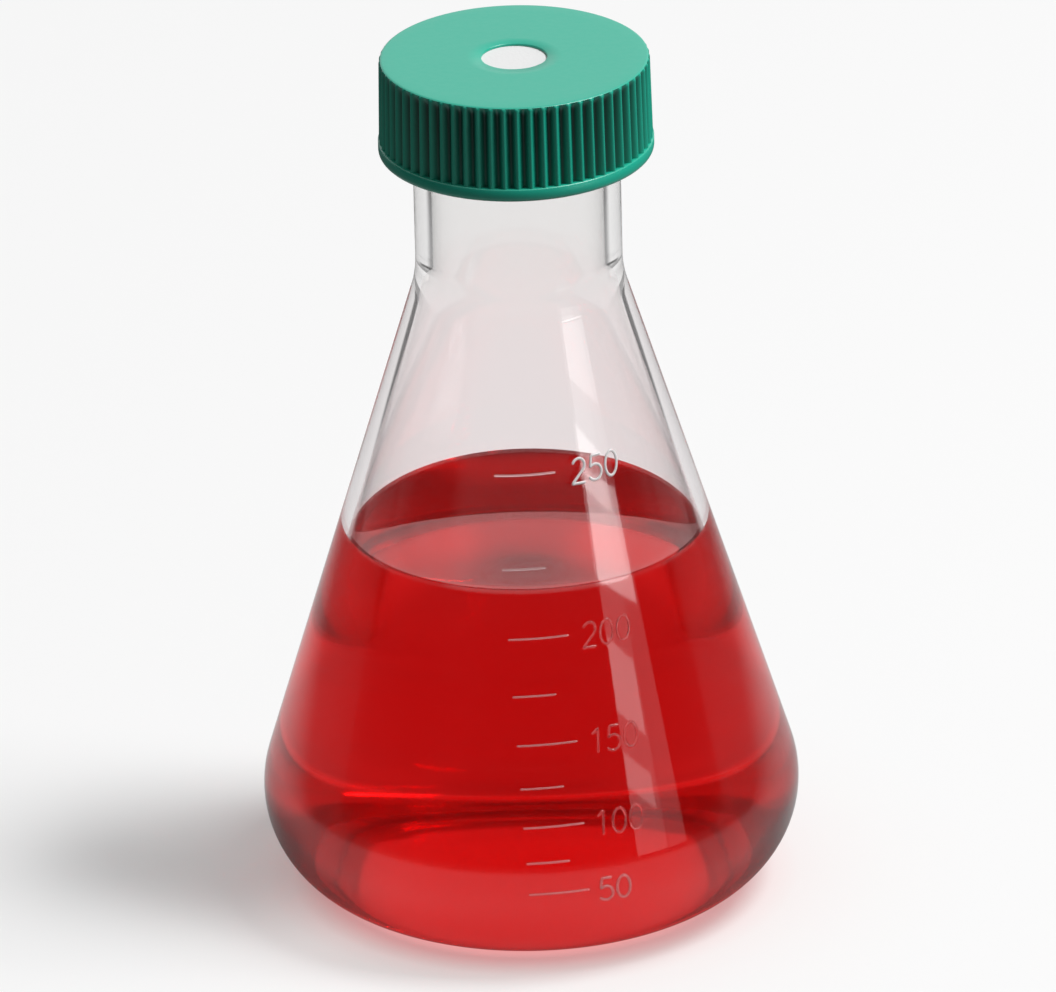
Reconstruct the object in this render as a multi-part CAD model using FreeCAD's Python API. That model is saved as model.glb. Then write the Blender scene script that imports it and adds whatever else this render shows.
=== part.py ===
import FreeCAD, Part
import math
import os

# A conical culture flask of clear plastic, standing upright and part filled with liquid.
# Its ribbed screw cap has a vent hole, closed by a white filter membrane.
# All sizes are in millimetres. The axis is +Z, the origin is the middle of the base on the
# surface that the flask stands on, and the moulded scale faces -Y.

# Flask
BODY_DIAMETER = 84.0
HEEL_RADIUS = 16.5
NECK_DIAMETER = 32.2
SHOULDER_HEIGHT = 103.2
SHOULDER_RADIUS = 18.0
FLASK_HEIGHT = 136.0
WALL = 1.9
NECK_WALL = 2.7
BASE_THICKNESS = 3.0
PUNT_DIAMETER = 44.0
PUNT_RISE = 3.0
LIP_ROUND = 0.7

# Screw thread between neck and cap
THREAD_PITCH = 4.23
THREAD_DEPTH = 1.25
THREAD_BASE_WIDTH = 2.7
THREAD_CREST_WIDTH = 1.2
THREAD_CLEARANCE = 0.35
THREAD_ROOTING = 0.4
NECK_THREAD_TURNS = 1.75
NECK_THREAD_BELOW_LIP = 2.4
CAP_THREAD_TURNS = 1.5
CAP_THREAD_ABOVE_RIM = 2.4

# Cap
CAP_TOP_THICKNESS = 2.0
CAP_DEPTH = 13.6
CAP_WALL = 2.55
CAP_DRAFT = 0.25
CAP_EDGE_ROUND = 0.25
RIM_BAND_HEIGHT = 2.2
RIM_BAND_PROUD = 0.15
RIM_EDGE_ROUND = 0.8
RIB_COUNT = 64
RIB_PHASE = 0.5
GROOVE_RADIUS = 0.96
GROOVE_DEPTH = 0.75
GROOVE_BELOW_TOP = 0.3

# Vent and seal
VENT_DIAMETER = 10.2
VENT_LIP = 0.4
MEMBRANE_DIAMETER = 16.6
MEMBRANE_THICKNESS = 0.3
RETAINER_BORE = 11.0
LINER_THICKNESS = 1.1
LINER_OVERLAP = 0.8
LINER_CLEARANCE = 0.3
SEAT_GAP = 0.05
FIT_GAP = 0.1

# Liquid
LIQUID_LEVEL = 60.5
LIQUID_GAP = 0.05

# Moulded scale: ticks at the heights where the flask holds these volumes, in millilitres
SCALE_FIRST = 50
SCALE_LAST = 250
SCALE_STEP = 25
LONG_TICK_STEP = 50
LONG_TICK = 9.5
SHORT_TICK = 6.8
TICK_WIDTH = 0.5
TICK_HEIGHT = 0.25
TICK_ROOTING = 0.4
SCALE_LEFT = -0.8
SCALE_LEAN = 3.5

BODY_RADIUS = BODY_DIAMETER / 2
NECK_RADIUS = NECK_DIAMETER / 2
AXIS_POINT = FreeCAD.Vector(0, 0, 0)
UP = FreeCAD.Vector(0, 0, 1)
CUBIC_MM_PER_ML = 1000.0

# Heights and radii that several pieces share
LINER_BOTTOM = FLASK_HEIGHT + SEAT_GAP
LINER_TOP = LINER_BOTTOM + LINER_THICKNESS
CAP_CEILING = LINER_TOP + SEAT_GAP
CAP_TOP = CAP_CEILING + CAP_TOP_THICKNESS
CAP_RIM = CAP_CEILING - CAP_DEPTH
CAP_BORE_RADIUS = NECK_RADIUS + THREAD_DEPTH + THREAD_CLEARANCE
CAP_TOP_RADIUS = CAP_BORE_RADIUS + CAP_WALL + GROOVE_DEPTH
CAP_RIM_RADIUS = CAP_TOP_RADIUS + CAP_DRAFT
MEMBRANE_TOP = CAP_TOP - VENT_LIP
MEMBRANE_SEAT_RADIUS = MEMBRANE_DIAMETER / 2 + FIT_GAP


def point(radius, height):
    """A point of a turned outline, in the half plane that holds the axis and +X."""
    return FreeCAD.Vector(radius, 0, height)


def line(start, end):
    """A straight edge of an outline."""
    return Part.LineSegment(start, end).toShape()


def arc(centre, radius, start_angle, end_angle):
    """A round edge of an outline, by angles in degrees measured up from +X."""
    def at(angle):
        turn = math.radians(angle)
        return centre + radius * point(math.cos(turn), math.sin(turn))

    middle = (start_angle + end_angle) / 2
    return Part.Arc(at(start_angle), at(middle), at(end_angle)).toShape()


def turned(edges):
    """The solid that a closed outline sweeps in one turn about the axis."""
    return Part.Face(Part.Wire(edges)).revolve(AXIS_POINT, UP, 360)


def polygon(corners):
    """The straight edges of a closed outline."""
    return [line(a, b) for a, b in zip(corners, corners[1:] + corners[:1])]


def ring(outer_radius, inner_radius, bottom, top):
    """A flat ring about the axis."""
    return turned(polygon([point(inner_radius, bottom), point(outer_radius, bottom),
                           point(outer_radius, top), point(inner_radius, top)]))


class FlaskWall:
    """The flask's outline at one depth inside its outer surface.

    The cone's line runs through the sharp corner under the neck and touches the heel's arc.
    An inset outline keeps parallel to it, its heel touches its own floor, and its neck has its
    own radius.
    """

    def __init__(self, inset, floor, neck_radius):
        heel_centre = point(BODY_RADIUS - HEEL_RADIUS, HEEL_RADIUS)
        to_corner = point(NECK_RADIUS, SHOULDER_HEIGHT) - heel_centre
        lean = math.atan2(to_corner.z, to_corner.x) - math.acos(HEEL_RADIUS / to_corner.Length)
        self.lean = math.degrees(lean)
        self.normal = point(math.cos(lean), math.sin(lean))
        self.reach = heel_centre.dot(self.normal) + HEEL_RADIUS - inset
        self.floor = floor
        self.heel_radius = HEEL_RADIUS - inset
        centre_height = floor + self.heel_radius
        centre_radius = (self.reach - self.heel_radius - self.normal.z * centre_height) / self.normal.x
        self.heel_centre = point(centre_radius, centre_height)
        self.neck_radius = neck_radius
        self.shoulder_radius = SHOULDER_RADIUS + inset
        corner_height = (self.reach - self.normal.x * neck_radius) / self.normal.z
        self.shoulder_top = corner_height + self.shoulder_radius * math.tan(lean / 2)
        self.shoulder_centre = point(neck_radius + self.shoulder_radius, self.shoulder_top)
        self.cone_bottom = self.heel_centre + self.heel_radius * self.normal
        self.cone_top = self.shoulder_centre - self.shoulder_radius * self.normal

    def radius(self, height):
        """The outline's radius at a height."""
        if height <= self.cone_bottom.z:
            rise = height - self.heel_centre.z
            return self.heel_centre.x + math.sqrt(max(self.heel_radius**2 - rise**2, 0))
        if height <= self.cone_top.z:
            return (self.reach - self.normal.z * height) / self.normal.x
        if height < self.shoulder_top:
            rise = self.shoulder_top - height
            return self.shoulder_centre.x - math.sqrt(self.shoulder_radius**2 - rise**2)
        return self.neck_radius

    def outward(self, height):
        """The outline's outward direction at a height on the heel or the cone."""
        if height >= self.cone_bottom.z:
            return self.normal
        return (point(self.radius(height), height) - self.heel_centre).normalize()

    def heel(self):
        """The heel's arc, from the floor up to the cone."""
        return arc(self.heel_centre, self.heel_radius, -90, self.lean)

    def cone(self):
        """The cone's straight edge, from the heel up to the shoulder."""
        return line(self.cone_bottom, self.cone_top)

    def shoulder(self):
        """The shoulder's arc, from the cone up to the neck."""
        return arc(self.shoulder_centre, self.shoulder_radius, 180 + self.lean, 180)

    def neck_foot(self):
        """The point where the neck starts."""
        return point(self.neck_radius, self.shoulder_top)


def dome(bottom, rise=PUNT_RISE):
    """The arc of the pushed-up middle of the base, from its rim in to the axis."""
    rim = point(PUNT_DIAMETER / 2, bottom)
    sphere_radius = (rim.x**2 + rise**2) / (2 * rise)
    centre = point(0, bottom + rise - sphere_radius)
    rim_angle = math.degrees(math.atan2(bottom - centre.z, rim.x))
    return arc(centre, sphere_radius, rim_angle, 90)


def dome_volume_below(depth):
    """The volume of the pushed-up middle up to a depth above its rim."""
    rim_radius = PUNT_DIAMETER / 2
    sphere_radius = (rim_radius**2 + PUNT_RISE**2) / (2 * PUNT_RISE)

    def cap_volume(cap_height):
        return math.pi * cap_height**2 * (3 * sphere_radius - cap_height) / 3

    return cap_volume(PUNT_RISE) - cap_volume(max(PUNT_RISE - depth, 0))


OUTSIDE = FlaskWall(0, 0, NECK_RADIUS)
INSIDE = FlaskWall(WALL, BASE_THICKNESS, NECK_RADIUS - NECK_WALL)


def volume_below(height, slices=400):
    """What the flask holds up to a height, in cubic millimetres, by Simpson's rule."""
    step = (height - BASE_THICKNESS) / slices
    areas = [math.pi * INSIDE.radius(BASE_THICKNESS + n * step) ** 2 for n in range(slices + 1)]
    total = areas[0] + areas[-1] + 4 * sum(areas[1:-1:2]) + 2 * sum(areas[2:-1:2])
    return total * step / 3 - dome_volume_below(height - BASE_THICKNESS)


def height_holding(millilitres):
    """The height at which the flask holds a volume, found by halving."""
    low, high = BASE_THICKNESS, FLASK_HEIGHT
    for _ in range(40):
        middle = (low + high) / 2
        if volume_below(middle) < millilitres * CUBIC_MM_PER_ML:
            low = middle
        else:
            high = middle
    return middle


def thread(root_radius, depth, bottom, turns, start_angle):
    """One screw ridge: a trapezoid carried up a right-hand helix.

    It stands out from the root radius by the depth, or into the bore if the depth is negative.
    """
    rooting = math.copysign(THREAD_ROOTING, depth)
    flank = (THREAD_BASE_WIDTH - THREAD_CREST_WIDTH) / 2 / abs(depth)
    foot_width = THREAD_BASE_WIDTH / 2 + flank * THREAD_ROOTING
    foot = root_radius - rooting
    crest = root_radius + depth
    section = Part.Wire(polygon([
        point(foot, -foot_width), point(crest, -THREAD_CREST_WIDTH / 2),
        point(crest, THREAD_CREST_WIDTH / 2), point(foot, foot_width)]))
    helix = Part.makeHelix(THREAD_PITCH, turns * THREAD_PITCH, root_radius)
    ridge = Part.Wire(helix.Edges).makePipeShell([section], True, True)
    ridge.rotate(AXIS_POINT, UP, start_angle)
    ridge.translate(FreeCAD.Vector(0, 0, bottom))
    return ridge


NECK_THREAD_BOTTOM = FLASK_HEIGHT - NECK_THREAD_BELOW_LIP - NECK_THREAD_TURNS * THREAD_PITCH
CAP_THREAD_BOTTOM = CAP_RIM + CAP_THREAD_ABOVE_RIM


def neck_thread():
    """The ridge round the neck."""
    return thread(NECK_RADIUS, THREAD_DEPTH, NECK_THREAD_BOTTOM, NECK_THREAD_TURNS, 0)


def cap_thread():
    """The ridge inside the cap, half a pitch below the neck's ridge all along."""
    turns_up = (CAP_THREAD_BOTTOM - NECK_THREAD_BOTTOM) / THREAD_PITCH + 0.5
    return thread(CAP_BORE_RADIUS, -THREAD_DEPTH, CAP_THREAD_BOTTOM, CAP_THREAD_TURNS, 360 * turns_up)


def tick(height, length):
    """A raised line of the scale, an arc on the outer surface from the scale's left edge."""
    middle = point(OUTSIDE.radius(height), height)
    outward = OUTSIDE.outward(height)
    along = point(-outward.z, outward.x) * (TICK_WIDTH / 2)
    foot = middle - TICK_ROOTING * outward
    crest = middle + TICK_HEIGHT * outward
    section = Part.Face(Part.Wire(polygon([foot - along, crest - along, crest + along, foot + along])))
    left = SCALE_LEFT - math.tan(math.radians(SCALE_LEAN)) * (height - height_holding(SCALE_FIRST))
    start_angle = math.degrees(math.asin(left / middle.x)) - 90
    section.rotate(AXIS_POINT, UP, start_angle)
    return section.revolve(AXIS_POINT, UP, math.degrees(length / middle.x))


def scale_ticks():
    """All the lines of the scale, long ones at the numbered volumes."""
    return [tick(height_holding(volume), SHORT_TICK if volume % LONG_TICK_STEP else LONG_TICK)
            for volume in range(SCALE_FIRST, SCALE_LAST + 1, SCALE_STEP)]


def flask_body():
    """The clear shell: base with a pushed-up middle, heel, cone, neck, lip, thread and scale."""
    lip_outer = point(NECK_RADIUS - LIP_ROUND, FLASK_HEIGHT - LIP_ROUND)
    lip_inner = point(INSIDE.neck_radius + LIP_ROUND, FLASK_HEIGHT - LIP_ROUND)
    shell = turned([
        dome(0),
        line(point(PUNT_DIAMETER / 2, 0), point(OUTSIDE.heel_centre.x, 0)),
        OUTSIDE.heel(),
        OUTSIDE.cone(),
        OUTSIDE.shoulder(),
        line(OUTSIDE.neck_foot(), point(NECK_RADIUS, lip_outer.z)),
        arc(lip_outer, LIP_ROUND, 0, 90),
        line(point(lip_outer.x, FLASK_HEIGHT), point(lip_inner.x, FLASK_HEIGHT)),
        arc(lip_inner, LIP_ROUND, 90, 180),
        line(point(INSIDE.neck_radius, lip_inner.z), INSIDE.neck_foot()),
        INSIDE.shoulder(),
        INSIDE.cone(),
        INSIDE.heel(),
        line(point(INSIDE.heel_centre.x, BASE_THICKNESS), point(PUNT_DIAMETER / 2, BASE_THICKNESS)),
        dome(BASE_THICKNESS),
        line(point(0, BASE_THICKNESS + PUNT_RISE), point(0, PUNT_RISE)),
    ])
    return shell.fuse([neck_thread()] + scale_ticks())


def liquid_fill():
    """The liquid, which fills the inside up to its level and stays a hair clear of the wall."""
    floor = BASE_THICKNESS + LIQUID_GAP
    skin = FlaskWall(WALL + LIQUID_GAP, floor, INSIDE.neck_radius - LIQUID_GAP)
    rim = point(skin.radius(LIQUID_LEVEL), LIQUID_LEVEL)
    return turned([
        dome(floor),
        line(point(PUNT_DIAMETER / 2, floor), point(skin.heel_centre.x, floor)),
        skin.heel(),
        line(skin.cone_bottom, rim),
        line(rim, point(0, LIQUID_LEVEL)),
        line(point(0, LIQUID_LEVEL), point(0, floor + PUNT_RISE)),
    ])


def groove_cutters():
    """The round-ended cutters that leave the cap's narrow ribs standing between them."""
    outward = GROOVE_RADIUS - GROOVE_DEPTH
    half_width = math.sqrt(GROOVE_RADIUS**2 - outward**2)
    bottom = point(CAP_RIM_RADIUS + outward, CAP_RIM + RIM_BAND_HEIGHT)
    top = point(CAP_TOP_RADIUS + outward, CAP_TOP - GROOVE_BELOW_TOP - half_width)
    slope = top - bottom
    cutter = Part.makeCylinder(GROOVE_RADIUS, slope.Length, bottom, slope).fuse(
        Part.makeSphere(GROOVE_RADIUS, top))
    pitch = 360 / RIB_COUNT
    cutters = []
    for n in range(RIB_COUNT):
        turned_cutter = cutter.copy()
        turned_cutter.rotate(AXIS_POINT, UP, RIB_PHASE - 90 + (n + 0.5) * pitch)
        cutters.append(turned_cutter)
    return cutters


def cap_shell():
    """The screw cap: top with a vent hole, seat for the membrane, ribbed skirt and inner thread."""
    vent_radius = VENT_DIAMETER / 2
    band_radius = CAP_RIM_RADIUS + RIM_BAND_PROUD
    band_top = CAP_RIM + RIM_BAND_HEIGHT
    edge_centre = point(CAP_TOP_RADIUS - CAP_EDGE_ROUND, CAP_TOP - CAP_EDGE_ROUND)
    rim_centre = point(band_radius - RIM_EDGE_ROUND, CAP_RIM + RIM_EDGE_ROUND)
    shell = turned([
        line(point(CAP_BORE_RADIUS, CAP_RIM), point(rim_centre.x, CAP_RIM)),
        arc(rim_centre, RIM_EDGE_ROUND, -90, 0),
        line(point(band_radius, rim_centre.z), point(band_radius, band_top - RIM_BAND_PROUD)),
        line(point(band_radius, band_top - RIM_BAND_PROUD), point(CAP_RIM_RADIUS, band_top)),
        line(point(CAP_RIM_RADIUS, band_top), point(CAP_TOP_RADIUS, edge_centre.z)),
        arc(edge_centre, CAP_EDGE_ROUND, 0, 90),
        line(point(edge_centre.x, CAP_TOP), point(vent_radius, CAP_TOP)),
        line(point(vent_radius, CAP_TOP), point(vent_radius, MEMBRANE_TOP)),
        line(point(vent_radius, MEMBRANE_TOP), point(MEMBRANE_SEAT_RADIUS, MEMBRANE_TOP)),
        line(point(MEMBRANE_SEAT_RADIUS, MEMBRANE_TOP), point(MEMBRANE_SEAT_RADIUS, CAP_CEILING)),
        line(point(MEMBRANE_SEAT_RADIUS, CAP_CEILING), point(CAP_BORE_RADIUS, CAP_CEILING)),
        line(point(CAP_BORE_RADIUS, CAP_CEILING), point(CAP_BORE_RADIUS, CAP_RIM)),
    ])
    return shell.cut(groove_cutters()).fuse(cap_thread())


def vent_membrane():
    """The white filter disc under the vent hole."""
    bottom = point(0, MEMBRANE_TOP - SEAT_GAP - MEMBRANE_THICKNESS)
    return Part.makeCylinder(MEMBRANE_DIAMETER / 2, MEMBRANE_THICKNESS, bottom)


def membrane_retainer():
    """The ring pressed in under the membrane's rim, flush with the cap's ceiling."""
    top = MEMBRANE_TOP - 2 * SEAT_GAP - MEMBRANE_THICKNESS
    return ring(MEMBRANE_SEAT_RADIUS - FIT_GAP / 2, RETAINER_BORE / 2, CAP_CEILING, top)


def seal_liner():
    """The soft ring between the flask's lip and the cap's ceiling."""
    inner_radius = INSIDE.neck_radius - LINER_OVERLAP
    return ring(CAP_BORE_RADIUS - LINER_CLEARANCE, inner_radius, LINER_BOTTOM, LINER_TOP)


PIECES = {
    "flask_body": flask_body,
    "liquid_fill": liquid_fill,
    "cap_shell": cap_shell,
    "vent_membrane": vent_membrane,
    "membrane_retainer": membrane_retainer,
    "seal_liner": seal_liner,
}


def main():
    os.makedirs("parts", exist_ok=True)
    for name, make in PIECES.items():
        shape = make()
        shape.exportStep(f"parts/{name}.step")
        print(name, len(shape.Solids), "solid", "valid" if shape.isValid() else "NOT VALID",
              round(shape.Volume / CUBIC_MM_PER_ML, 3), "ml")
    for volume in range(SCALE_FIRST, SCALE_LAST + 1, SCALE_STEP):
        print(volume, "ml at", round(height_holding(volume), 2), "mm")
    print("liquid", round(volume_below(LIQUID_LEVEL) / CUBIC_MM_PER_ML, 1), "ml, cap top", round(CAP_TOP, 2))


main()
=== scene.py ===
"""Looks of a conical culture flask: clear shell, red liquid and a green ribbed cap with a vent.

Lengths in the size classes are in millimetres, as in the drawing of the part. Meshes are in metres, and
so are lengths in the finishes and in what stands round the flask: camera, table, lamps and backdrop.
Azimuth is measured round the axis from the front (-Y), positive towards the viewer's right (+X).
"""

import logging
import math
from dataclasses import dataclass, field
from enum import Enum

import bpy
import numpy as np
from mathutils import Matrix, Vector


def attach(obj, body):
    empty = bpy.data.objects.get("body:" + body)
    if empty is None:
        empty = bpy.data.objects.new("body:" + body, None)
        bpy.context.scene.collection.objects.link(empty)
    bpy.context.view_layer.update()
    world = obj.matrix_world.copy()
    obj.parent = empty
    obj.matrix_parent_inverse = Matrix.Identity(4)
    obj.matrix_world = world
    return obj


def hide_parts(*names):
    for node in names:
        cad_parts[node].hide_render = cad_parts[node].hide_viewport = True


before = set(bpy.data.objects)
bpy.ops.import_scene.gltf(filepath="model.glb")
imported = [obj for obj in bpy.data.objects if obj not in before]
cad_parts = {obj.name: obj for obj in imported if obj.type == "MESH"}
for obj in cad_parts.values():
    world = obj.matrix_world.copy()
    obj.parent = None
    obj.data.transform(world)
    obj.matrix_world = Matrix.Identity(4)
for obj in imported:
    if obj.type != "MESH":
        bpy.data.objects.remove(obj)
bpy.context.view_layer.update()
LOG = logging.getLogger("flask")
MM = 0.001
Array = np.ndarray
Socket = bpy.types.NodeSocket
Pair = tuple[float, float]
Triple = tuple[float, float, float]
Skin = tuple[Array, list[Array]]
TINY = 1e-6


class Body(str, Enum):
    """Bodies of the part that a piece can ride on."""

    FLASK = "flask"
    SEAL = "seal"
    CAP = "cap"


def line_points(start: Pair, end: Pair, count: int) -> Array:
    """Points of an outline, as (radius, height) rows, along a straight stretch with both ends."""
    return np.linspace(start, end, count)


def arc_points(centre: Pair, radius: float, first: float, last: float, count: int) -> Array:
    """Points along an arc about a centre, between angles in degrees measured up from outwards."""
    turn = np.radians(np.linspace(first, last, count))
    return np.column_stack([centre[0] + radius * np.cos(turn), centre[1] + radius * np.sin(turn)])


def joined(*stretches: Array) -> Array:
    """One outline from stretches that follow each other, with shared end points kept once.

    Args:
        stretches: arrays of (radius, height) rows.
    Returns:
        Array of (radius, height) rows.
    """
    points = np.vstack(stretches)
    step = np.linalg.norm(np.diff(points, axis=0), axis=1)
    return points[np.concatenate([[True], step > TINY])]


def smooth(low: float, high: float, value: Array) -> Array:
    """Smooth step from 0 at low to 1 at high."""
    t = np.clip((value - low) / (high - low), 0, 1)
    return t * t * (3 - 2 * t)


def skin(points: Array, ring: bool) -> Skin:
    """Corners and faces of a surface given as rows of points, each row a closed loop.

    Neighbouring rows and columns are joined by quads. The end rows either join each other or close in
    a fan on their own middle.

    Args:
        points: array of rows, columns and coordinates, in mm.
        ring: True if the last row joins the first.
    Returns:
        Corners in mm, and blocks of faces, each an array with one row of corner numbers per face.
    """
    rows, columns = points.shape[:2]
    corners = points.reshape(-1, 3)
    index = np.arange(rows * columns).reshape(rows, columns)
    loop = np.vstack([index, index[:1]]) if ring else index
    beside = np.roll(loop, -1, axis=1)
    blocks = [np.stack([loop[:-1], beside[:-1], beside[1:], loop[1:]], axis=-1).reshape(-1, 4)]
    if not ring:
        corners = np.vstack([corners, points[0].mean(axis=0), points[-1].mean(axis=0)])
        first = np.full(columns, rows * columns)
        blocks.append(np.stack([first, beside[0], index[0]], axis=-1))
        blocks.append(np.stack([index[-1], beside[-1], first + 1], axis=-1))
    return corners, blocks


def object_from(skins: list[Skin], name: str, sharp_angle: float) -> bpy.types.Object:
    """One smooth object from several skins.

    Args:
        skins: corners in mm and faces of each skin.
        name: the object's name.
        sharp_angle: edges bent more than this many degrees stay sharp.
    Returns:
        The new object, at the origin.
    """
    faces, count = [], 0
    for corners, blocks in skins:
        for block in blocks:
            faces += (block + count).tolist()
        count += len(corners)
    points = np.vstack([corners for corners, _ in skins]) * MM
    mesh = bpy.data.meshes.new(name)
    mesh.from_pydata(points.tolist(), [], faces)
    mesh.polygons.foreach_set("use_smooth", np.ones(len(mesh.polygons), dtype=bool))
    mesh.set_sharp_from_angle(angle=math.radians(sharp_angle))
    mesh.update()
    piece = bpy.data.objects.new(name, mesh)
    bpy.context.scene.collection.objects.link(piece)
    return piece


@dataclass(frozen=True)
class Turned:
    """A surface swept round the axis: one row of points per outline point, one column per azimuth.

    Radius and height are in mm at each row and column, and azimuth is in radians. A ring's last row joins
    its first; other surfaces close on the axis. Edges bent more than the sharp angle, in degrees, stay sharp.
    """

    name: str
    radius: Array
    height: Array
    azimuth: Array
    ring: bool
    sharp_angle: float = 35.0

    def build(self) -> bpy.types.Object:
        """Makes the object.

        Returns:
            The new object, at the origin.
        """
        x, y = self.radius * np.sin(self.azimuth), -self.radius * np.cos(self.azimuth)
        points = np.stack([x, y, self.height], axis=-1)
        return object_from([skin(points, self.ring)], self.name, self.sharp_angle)


def round_axis(step: float) -> Array:
    """Azimuths in radians all round the axis, a step in degrees apart."""
    return np.radians(np.arange(-180, 180, step))


def swept(outline: Array, azimuth: Array) -> tuple[Array, Array]:
    """Radius and height of an outline's points, repeated at every azimuth."""
    rows = np.repeat(outline[:, :, None], len(azimuth), axis=2)
    return rows[:, 0], rows[:, 1]


class Graph:
    """A node tree that is built by naming nodes, their inputs and links."""

    def __init__(self, tree: bpy.types.NodeTree) -> None:
        """Starts from an empty tree."""
        self.tree = tree
        tree.nodes.clear()

    def add(self, kind: str, inputs: dict[str | int, object] | None = None,
            **settings: object) -> bpy.types.Node:
        """Adds a node.

        Args:
            kind: node type without the ShaderNode prefix.
            inputs: socket name or index to a value, or to the output socket that feeds it.
            settings: properties of the node itself.
        Returns:
            The new node.
        """
        node = self.tree.nodes.new("ShaderNode" + kind)
        for key, value in settings.items():
            setattr(node, key, value)
        for key, value in (inputs or {}).items():
            if isinstance(value, Socket):
                self.tree.links.new(value, node.inputs[key])
            else:
                node.inputs[key].default_value = value
        return node

    def span(self, value: Socket, low: float, high: float, first: float | Socket = 0.0,
             last: float | Socket = 1.0, eased: bool = False) -> Socket:
        """A number that goes from first to last while another goes from low to high.

        Args:
            value: the number that it follows.
            low: where it starts.
            high: where it ends.
            first: what it is up to the start.
            last: what it is from the end on.
            eased: True for a smooth step, False for a straight line.
        Returns:
            The output socket.
        """
        node = self.add(
            "MapRange", {"Value": value, "From Min": low, "From Max": high, "To Min": first, "To Max": last},
            interpolation_type="SMOOTHSTEP" if eased else "LINEAR")
        return node.outputs["Result"]

    def blend(self, share: Socket, first: float | Socket, last: float | Socket) -> Socket:
        """A number between first at share 0 and last at share 1."""
        return self.span(share, 0.0, 1.0, first, last)

    def math(self, operation: str, *values: float | Socket) -> Socket:
        """The result of an operation on numbers."""
        return self.add("Math", dict(enumerate(values)), operation=operation).outputs[0]

    def vector(self, operation: str, *values: Triple | Socket) -> Socket:
        """The result of an operation on vectors: a number for a length or a distance, else a vector."""
        node = self.add("VectorMath", dict(enumerate(values)), operation=operation)
        return node.outputs["Value" if operation in ("LENGTH", "DISTANCE") else "Vector"]

    def mix(self, share: Socket, first: object, last: object, blend_type: str = "MIX") -> Socket:
        """A colour that goes from first at share 0 to the two blended at share 1."""
        inputs = {"Fac": share, "Color1": first, "Color2": last}
        return self.add("MixRGB", inputs, blend_type=blend_type).outputs["Color"]

    def end(self, surface: bpy.types.Node) -> None:
        """Sends a surface to the material's output."""
        self.add("OutputMaterial", {"Surface": surface.outputs[0]})

    def place(self) -> Socket:
        """The piece's own coordinates."""
        return self.add("TexCoord").outputs["Object"]

    def parts(self, vector: Socket) -> list[Socket]:
        """A vector's x, y and z."""
        return list(self.add("SeparateXYZ", {"Vector": vector}).outputs)


@dataclass(frozen=True)
class Finish:
    """What a piece's surface looks like. Subclasses fill in the nodes."""

    name: str
    slot: str

    def nodes(self, graph: Graph) -> None:
        """Adds the nodes that make the finish."""
        raise NotImplementedError

    def material(self) -> bpy.types.Material:
        """The finish as a material.

        Returns:
            The new material.
        """
        made = bpy.data.materials.new(self.name)
        made.use_nodes = True
        self.nodes(Graph(made.node_tree))
        return made


@dataclass(frozen=True)
class ClearPlastic(Finish):
    """Polished clear plastic. Its body is tinted with painted pink light, the red liquid's glow, gone at the
    neck.

    Less clearness makes it scatter light, so that it shows pale.
    """

    # painted light: the body's pink tint stands in for the red liquid's glow, and fades into neck_tint
    tint: Triple = (0.965, 0.927, 0.929)
    neck_tint: Triple = (0.93, 0.925, 0.92)
    fade: Pair = (0.092, 0.112)
    index: float = 1.56
    roughness: float = 0.015
    gloss: float = 1.0
    clearness: float = 1.0

    def nodes(self, graph: Graph) -> None:
        """A transmitting surface. Two tints change into each other with height: painted pink light below,
        plain above.

        Args:
            graph: the material's node graph.
        """
        tint: object = (*self.tint, 1)
        if self.neck_tint != self.tint:
            # painted pink light of the liquid, fading out towards the neck
            share = graph.span(graph.parts(graph.place())[2], *self.fade, eased=True)
            tint = graph.mix(share, tint, (*self.neck_tint, 1))
        surface = graph.add("BsdfPrincipled", {
            "Base Color": tint, "Roughness": self.roughness, "IOR": self.index,
            "Specular Tint": (self.gloss, self.gloss, self.gloss, 1), "Transmission Weight": self.clearness})
        graph.end(surface)


@dataclass(frozen=True)
class ClearLiquid(Finish):
    """Clear coloured liquid: the colour comes from absorption along the way through it.

    Its free surface is glossy. Where it wets the wall there is hardly any mirror image. The gloss changes
    at the edge, between two depths below the level.
    """

    colour: Triple = (0.947, 0.02, 0.025)
    density: float = 75.0
    index: float = 1.345
    level: float = 0.0605
    edge: Pair = (0.0002, 0.00005)
    gloss: Pair = (0.02, 2.0)

    def nodes(self, graph: Graph) -> None:
        """A smooth surface around an absorbing volume.

        Args:
            graph: the material's node graph.
        """
        height = graph.parts(graph.place())[2]
        gloss = graph.span(height, self.level - self.edge[0], self.level - self.edge[1], *self.gloss)
        surface = graph.add("BsdfPrincipled", {
            "Base Color": (1, 1, 1, 1), "Roughness": 0.0, "IOR": self.index, "Specular Tint": gloss,
            "Transmission Weight": 1.0})
        volume = graph.add("VolumeAbsorption", {"Color": (*self.colour, 1), "Density": self.density})
        graph.add("OutputMaterial", {"Surface": surface.outputs[0], "Volume": volume.outputs[0]})


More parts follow.
